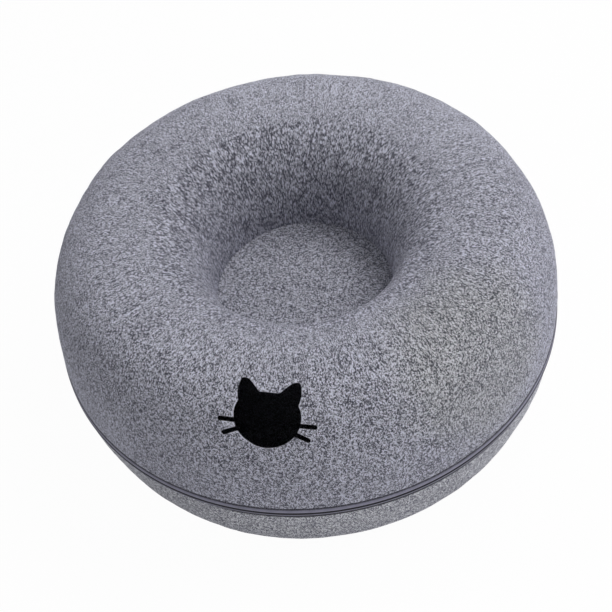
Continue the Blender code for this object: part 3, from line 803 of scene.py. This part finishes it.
def make_upper_felt():
    """Dome and well in one piece, with the peephole and the entrance cut out."""
    section, inner = walled(upper_line(), FELT, UPPER_INSIDE_STEP)
    steady = steady_share(section, FLOOR_HEIGHT, ZIPPER_HEIGHT + SHOWS_ABOVE) * (1 - 2 * inner)

    def relief(points, rows):
        return moved_out(points, rows, section, felt_relief(points, RELIEF) * steady[rows])

    felt = add_ring("upper_felt", section, column_angles(), [OUTSIDE_FELT, INSIDE_FELT_SHADED],
                    relief, inner)
    place = peephole_place()
    cutter = prism("peephole", head_outline(), -PEEPHOLE_OVERRUN, PEEPHOLE_OVERRUN, place,
                   [SHADE_FELT])
    for outline in whisker_outlines():
        boolean(cutter, prism("whisker", outline, -WHISKER_OVERRUN, WHISKER_OVERRUN, place,
                              [SHADE_FELT]), "UNION")
    boolean(felt, cutter, "DIFFERENCE")
    sill = ZIPPER_HEIGHT + SHOWS_ABOVE + ENTRANCE_SILL
    top = RING_HEIGHT - ENTRANCE_CREST_DROP
    oval = arc((0.0, 0.0), (ENTRANCE_WIDTH / 2, (top - sill) / 2), 0.0, 2 * math.pi, 120)[:-1]
    behind = (Matrix.Translation((0.0, ENTRANCE_START, (sill + top) / 2))
              @ Matrix.Rotation(math.pi / 2, 4, "X"))
    boolean(felt, prism("entrance", oval, 0.0, ENTRANCE_START - CREST_RADIUS, behind, [EDGE_FELT]),
            "DIFFERENCE")
    soften_cut(felt, place)
    felt.data.shade_smooth()
    felt.data.set_sharp_from_angle(angle=math.radians(50))
    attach(felt, "upper_half")
    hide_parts("upper_shell")


def distance_to(loops, flat):
    """Least distance of flat points to closed loops: each point is dropped square onto every side,
    no further than the side's ends."""
    best = np.full(len(flat), np.inf)
    for start in loops:
        way = np.roll(start, -1, axis=0) - start
        share = ((flat[:, None] - start) * way).sum(axis=2) / (way ** 2).sum(axis=1)
        dropped = start + np.clip(share, 0.0, 1.0)[..., None] * way
        best = np.minimum(best, np.linalg.norm(flat[:, None] - dropped, axis=2).min(axis=1))
    return best


def soften_cut(felt, place):
    """Presses the outside of the felt in beside the peephole: within 2.4 mm of its outline a point
    goes inwards by half a millimetre times the square of what is left of that distance. The lip
    attribute is one along the outline and falls to nought 1.8 mm from it; the finishes paint a
    highlight along the cut with it."""
    mesh = felt.data
    points = mesh_points(mesh)
    inverse = place.inverted()
    local = points @ np.array(inverse.to_3x3()).T + np.array(inverse.translation)
    near = ((local > PEEPHOLE_BOX[0]) & (local < PEEPHOLE_BOX[1])).all(axis=1)
    flat, depth = local[near][:, :2], local[near][:, 2]
    away = distance_to([head_outline(), *whisker_outlines()], flat)
    outside = depth > -SKIN_DEPTH - SKIN_FALL * (np.abs(flat[:, 1]) / SKIN_SPAN) ** 2
    press = PRESS_DEPTH * np.clip(1 - away / PRESS_REACH, 0.0, 1.0) ** 2 * outside
    points[near] -= press[:, None] * np.array(place.to_3x3().col[2])
    lip = np.zeros(len(points), dtype=np.float32)
    lip[near] = np.clip(LIP_START - away / LIP_REACH, 0.0, 1.0) * outside
    mesh.attributes.new("lip", "FLOAT", "POINT").data.foreach_set("value", lip)
    mesh.vertices.foreach_set("co", points.astype(np.float32).ravel())
    mesh.update()


def make_lower_felt():
    """Lower wall, base and core in one piece, open below."""
    edge = ZIPPER_HEIGHT - SHOWS_BELOW
    wall, foot = (RING_RADIUS, ZIPPER_HEIGHT), (BASE_RADIUS, 0.0)
    side = quarter(wall, foot, UNDERSIDE_FULLNESS,
                   np.linspace(turn_at(wall, foot, UNDERSIDE_FULLNESS, edge), math.pi / 2,
                               LOWER_STEPS))
    core = quarter((WELL_RADIUS, FLOOR_HEIGHT - FELT - SEAT_GAP), (CORE_FOOT_RADIUS, 0.0), 1.0,
                   np.linspace(math.pi / 2, 0.0, LOWER_STEPS))
    line = np.vstack([side, core])
    line = respaced(line, np.linspace(0.0, line_length(line), LOWER_ROWS))
    section, inner = walled(line, -FELT, LOWER_INSIDE_STEP)
    steady = steady_share(section, 0.0, FELT, edge, FLOOR_HEIGHT - FELT) * (2 * inner - 1)

    def relief(points, rows):
        swell = felt_relief(points, RELIEF, LOWER_RELIEF_SHARE)
        return moved_out(points, rows, section, swell * steady[rows])

    angles = np.linspace(0.0, 2 * math.pi, LOWER_COLUMNS, endpoint=False)
    felt = add_ring("lower_felt", section, angles, [LOWER_FELT_LIT, INSIDE_FELT_SHADED], relief, inner)
    felt.data.set_sharp_from_angle(angle=math.radians(50))
    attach(felt, "lower_half")
    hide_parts("lower_shell")


def make_floor_felt():
    """Disc on the core's rim. Away from the well's wall its top lies 0.6 mm lower and has soft
    waves of 60 and 15 mm. A fan of triangles closes it in the middle, above and below."""
    rim, low = WELL_RADIUS + FELT, FLOOR_HEIGHT - FELT
    reach = rim - FLOOR_EDGE_ROUND
    top = np.column_stack([np.linspace(FLOOR_POLE, reach, FLOOR_ROWS),
                           np.full(FLOOR_ROWS, FLOOR_HEIGHT)])
    edge = [rounded_corner((0, FLOOR_HEIGHT), (rim, FLOOR_HEIGHT), (rim, low), FLOOR_EDGE_ROUND),
            rounded_corner((rim, FLOOR_HEIGHT), (rim, low), (0, low), FLOOR_EDGE_ROUND)]
    under = np.column_stack([np.linspace(rim - 0.001, FLOOR_POLE, FLOOR_UNDER_ROWS),
                             np.full(FLOOR_UNDER_ROWS, low)])
    section = np.vstack([top[:-1], *edge, under[1:]])
    grid = turned(section, np.linspace(0.0, 2 * math.pi, FLOOR_COLUMNS, endpoint=False))
    rows, columns = grid.shape[:2]
    points = grid.reshape(-1, 3)
    radius = np.hypot(points[:, 0], points[:, 1])
    inside = np.clip((WELL_RADIUS - FLOOR_SAG_START - radius) / FLOOR_SAG_WIDTH, 0.0, 1.0)
    points[:, 2] += inside * (felt_relief(points, FLOOR_RELIEF) - FLOOR_SAG)
    poles = [[0.0, 0.0, ring[:, 2].mean()] for ring in (points[:columns], points[-columns:])]
    everything = np.vstack([points, poles])
    faces = grid_faces(rows, columns, False, True)
    turned_faces = outward(everything, faces)
    j = np.arange(columns)
    k = (j + 1) % columns
    last = rows * columns
    fans = np.vstack([np.stack([np.full(columns, last), j, k], axis=1),
                      np.stack([np.full(columns, last + 1), k + last - columns,
                                j + last - columns], axis=1)])
    if turned_faces[0, 1] != faces[0, 1]:
        fans = fans[:, ::-1]
    disc = bpy.data.meshes.new("floor_felt")
    disc.from_pydata(everything.tolist(), [], turned_faces.tolist() + fans.tolist())
    disc.materials.append(FLOOR_FELT)
    disc.update()
    disc.shade_smooth()
    piece = add_object("floor_felt", disc)
    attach(piece, "lower_half")
    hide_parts("well_floor")


# Zipper

TAPE_COLUMNS = 540
BAND_STEP = 0.0003
COIL_STEPS = 7
FIBRES = 2000
FIBRE_THICKNESS = np.array([0.00013, 0.00012, 0.0001, 0.00005])
FIBRE_LENGTH, FIBRE_LIFT, FIBRE_ROOT = (0.0004, 0.0012), (0.0002, 0.0014), (-0.0008, -0.0001)
FIBRE_LEAN, FIBRE_CURL = 0.8, 0.0003


def smoothed(line, times):
    """Each point moved to a quarter, a half and a quarter of itself and its neighbours, times over,
    with the ends held."""
    for _ in range(times):
        line = np.vstack([line[:1], line[:-2] / 4 + line[1:-1] / 2 + line[2:] / 4, line[-1:]])
    return line


def tape_line(side, behind_felt):
    """Middle line of a tape: down behind the felt, out under its edge, along the band that stands
    proud of it, and round a lip or a bead into the split, which lies a little above the middle."""
    face = RING_RADIUS + BAND_PROUD - TAPE / 2
    flush = RING_RADIUS - TAPE / 2
    hem = behind_felt - SEAT_GAP - TAPE / 2
    if side > 0:
        shows = SHOWS_ABOVE
        band = [(flush - 0.0004, shows - 0.0008), (flush + 0.0004, shows - 0.0013),
                (face - 0.0002, shows - 0.0026), (face, shows - 0.0040), (face + 0.0001, 0.0032),
                (face, 0.0025), (face - 0.0003, 0.0020), (face - 0.0008, 0.0018)]
    else:
        shows = SHOWS_BELOW
        band = [(flush - 0.0004, shows - 0.0008), (flush, shows - 0.0012), (flush, 0.0038),
                (face - 0.0003, 0.0029), (face + 0.0002, 0.0022), (face + 0.0003, 0.0016),
                (face, 0.0010), (face - 0.0005, 0.0007), (face - 0.0009, 0.0007)]
    behind = [(hem - 0.0006, shows + TAPE_HEM), (hem, shows + 0.0010),
              (hem + 0.0002, shows - 0.0004), (hem + 0.0012, shows - 0.0008)]
    line = np.array(behind + band)
    line = smoothed(respaced(line, np.linspace(0.0, line_length(line), 130)), 4)
    return np.column_stack([line[:, 0], ZIPPER_HEIGHT + side * line[:, 1]])


def make_tape(name, side, behind_felt, body):
    """Half a tape's thickness to both sides of its middle line, turned round the ring. The half of
    the line that shows has the finer steps."""
    line = tape_line(side, behind_felt)
    length = line_length(line)
    behind = np.linspace(0.0, length / 2, 12, endpoint=False)
    shown = np.linspace(length / 2, length, round(length / 2 / BAND_STEP))
    line = respaced(line, np.concatenate([behind, shown]))
    section = np.vstack([offset(line, TAPE / 2), offset(line, -TAPE / 2)[::-1]])
    angles = np.linspace(0.0, 2 * math.pi, TAPE_COLUMNS, endpoint=False)
    tape = add_ring(name, section, angles, [TAPE_CLOTH])
    tape.data.set_sharp_from_angle(angle=math.radians(60))
    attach(tape, body)
    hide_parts(name.replace("_cloth", "_tape"))


def make_coil(name, side, body):
    """One filament wound round the ring: its middle goes round an ellipse in radius and height
    once a turn while it travels, from one side of the break at the back to the other."""
    count = COIL_TURNS * COIL_STEPS + 1
    back = math.pi / 2
    travel = np.linspace(back + COIL_BREAK, back + 2 * math.pi - COIL_BREAK, count)
    wind = np.arange(count) * 2 * math.pi / COIL_STEPS
    outer = RING_RADIUS + TAPE_PROUD - TAPE - SEAT_GAP
    radius = outer - COIL_DEPTH / 2 + (COIL_DEPTH / 2 - WIRE) * np.cos(wind)
    height = ZIPPER_HEIGHT + side * (COIL_SPLIT / 2 + COIL_WIDTH / 2
                                     + (COIL_WIDTH / 2 - WIRE) * np.sin(wind))
    path = np.stack([radius * np.cos(travel), radius * np.sin(travel), height], axis=1)
    points, faces = tubes(path[None], WIRE, 4)
    coil = add_mesh(name, points, outward(points, faces), [COIL_NYLON])
    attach(coil, body)
    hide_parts(name.replace("_teeth", "_coil"))


def make_edge_fibres(name, side, shows, body, seed, start, end):
    """Loose fibres along a cut edge of the felt, between two angles in degrees: each starts on the
    edge and runs over the slot, leaning to one side, and curls and lifts off by parabolas, with its
    own length, lean, curl and lift."""
    rng = np.random.default_rng(seed)
    angle = rng.uniform(math.radians(start), math.radians(end), FIBRES)
    length = rng.uniform(*FIBRE_LENGTH, FIBRES)
    lean = rng.normal(0.0, FIBRE_LEAN, FIBRES)
    lift = rng.uniform(*FIBRE_LIFT, FIBRES)
    curl = rng.normal(0.0, FIBRE_CURL, FIBRES)
    root = RING_RADIUS + rng.uniform(*FIBRE_ROOT, FIBRES)
    share = np.linspace(0.0, 1.0, 4)
    along = (np.sin(lean) * length)[:, None] * share + curl[:, None] * share ** 2
    down = (np.cos(lean) * length)[:, None] * share
    radius = root[:, None] + lift[:, None] * share ** 2
    turn = angle[:, None] + along / RING_RADIUS
    height = ZIPPER_HEIGHT + side * (shows + 0.0003 - down)
    paths = np.stack([radius * np.cos(turn), radius * np.sin(turn), height], axis=2)
    points, faces = tubes(paths, FIBRE_THICKNESS, 3)
    fibres = add_mesh(name, points, faces, [FLOOR_FELT])
    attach(fibres, body)


def make_zipper():
    """Tapes, loose fibres and coils. The slider and the stops stay as they are and get their
    enamel."""
    behind_upper = RING_RADIUS - 0.0002 - FELT
    make_tape("upper_cloth", 1, behind_upper, "upper_half")
    make_tape("lower_cloth", -1, behind_upper, "lower_half")
    make_edge_fibres("upper_edge_fibres", 1, SHOWS_ABOVE, "upper_half", 21, 0, 360)
    make_edge_fibres("lower_edge_fibres", -1, SHOWS_BELOW, "lower_half", 22, -48, 246)
    make_coil("upper_teeth", 1, "upper_half")
    make_coil("lower_teeth", -1, "lower_half")
    for name in ("slider", "pull_tab", "upper_start_stop", "upper_end_stop", "lower_start_stop",
                 "lower_end_stop"):
        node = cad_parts[name]
        for slot in node.material_slots:
            slot.material = METAL


# Floor, light and camera

FLOOR_REACH, FLOOR_DROP = 6.0, 0.0004
WORLD_FILL = 0.42
LAMP_AIM, LAMP_SIZE = (0.0, 0.0, 0.12), 1.0
LAMPS = {"key_right": ((1.32, 0.0, 2.0), 12.8), "key_back": ((0.85, 1.01, 2.0), 13.8),
         "low_fill": ((1.6, -1.5, 0.6), 7.2)}
CAMERA_PLACE = (-0.0022, -0.9006, 1.1733)
CAMERA_ELEVATION, CAMERA_ROLL = math.radians(50.4), math.radians(-7.9)
SENSOR_WIDTH = 36.0
FOCAL_LENGTH = 1140.0 * SENSOR_WIDTH / 612


def make_stage():
    """A wide pale sheet under the ring, which the camera sees nearly white."""
    corners = np.array([[x * FLOOR_REACH, y * FLOOR_REACH, -FLOOR_DROP]
                        for x, y in ((-1, -1), (1, -1), (1, 1), (-1, 1))])
    paper = Finish("paper_floor", roughness=0.9, specular_ior_level=0.1)
    grain = paper.noise(0.02, detail=3.0)
    paper.feed("Base Color", paper.blend(grain, colour(233, 233, 235), colour(238, 238, 240)))
    glow = paper.tree.nodes.new("ShaderNodeEmission")
    seen = paper.node("ShaderNodeLightPath", output="Is Camera Ray")
    mix = paper.tree.nodes.new("ShaderNodeMixShader")
    paper.connect(mix.inputs[0], seen * 0.97)
    paper.tree.links.new(paper.shader.outputs[0], mix.inputs[1])
    paper.tree.links.new(glow.outputs[0], mix.inputs[2])
    paper.tree.links.new(mix.outputs[0], paper.tree.nodes["Material Output"].inputs["Surface"])
    floor = add_mesh("floor_sheet", corners, [[0, 1, 2, 3]], [paper.material])


def make_world(fill):
    """White where the camera, a reflection or glass sees it, and a plain soft fill for the rest."""
    world = bpy.data.worlds.new("studio")
    bpy.context.scene.world = world
    world.use_nodes = True
    tree = world.node_tree
    sky = tree.nodes["Background"]
    path = tree.nodes.new("ShaderNodeLightPath")
    seen = path.outputs["Is Camera Ray"]
    for name in ("Is Glossy Ray", "Is Transmission Ray"):
        either = tree.nodes.new("ShaderNodeMath")
        either.operation = "MAXIMUM"
        tree.links.new(seen, either.inputs[0])
        tree.links.new(path.outputs[name], either.inputs[1])
        seen = either.outputs[0]
    level = tree.nodes.new("ShaderNodeMapRange")
    tree.links.new(seen, level.inputs["Value"])
    level.inputs["To Min"].default_value = fill
    level.inputs["To Max"].default_value = 1.0
    tree.links.new(level.outputs[0], sky.inputs["Strength"])
    sky.inputs["Color"].default_value = (1.0, 1.0, 1.0, 1.0)


def placed(across, up, back, place):
    """The matrix of a thing with these three axes at this place."""
    return Matrix(np.column_stack([across, up, back, place]).tolist() + [[0, 0, 0, 1]])


def add_lamp(name, place, power):
    """A round lamp that faces the ring."""
    lamp = bpy.data.lights.new(name, "AREA")
    lamp.shape = "DISK"
    lamp.size = LAMP_SIZE
    lamp.energy = power
    back = np.array(place) - np.array(LAMP_AIM)
    back /= np.linalg.norm(back)
    across = np.cross((0.0, 0.0, 1.0), back)
    across /= np.linalg.norm(across)
    add_object(name, lamp).matrix_world = placed(across, np.cross(back, across), back, place)


def add_camera():
    """Looks down over the front, rolled a little, at the place and angle that the picture has."""
    back = np.array([0.0, -math.cos(CAMERA_ELEVATION), math.sin(CAMERA_ELEVATION)])
    right = np.array([1.0, 0.0, 0.0])
    up = np.cross(back, right)
    across = right * math.cos(CAMERA_ROLL) + up * math.sin(CAMERA_ROLL)
    upright = up * math.cos(CAMERA_ROLL) - right * math.sin(CAMERA_ROLL)
    data = bpy.data.cameras.new("portrait")
    data.sensor_width = SENSOR_WIDTH
    data.lens = FOCAL_LENGTH
    camera = add_object("portrait", data)
    camera.matrix_world = placed(across, upright, back, CAMERA_PLACE)
    bpy.context.scene.camera = camera


add_camera()
make_stage()
make_world(WORLD_FILL)
for lamp_name, (lamp_place, lamp_power) in LAMPS.items():
    add_lamp(lamp_name, lamp_place, lamp_power)
make_upper_felt()
make_lower_felt()
make_floor_felt()
make_zipper()
bpy.context.scene.view_settings.view_transform = "Standard"
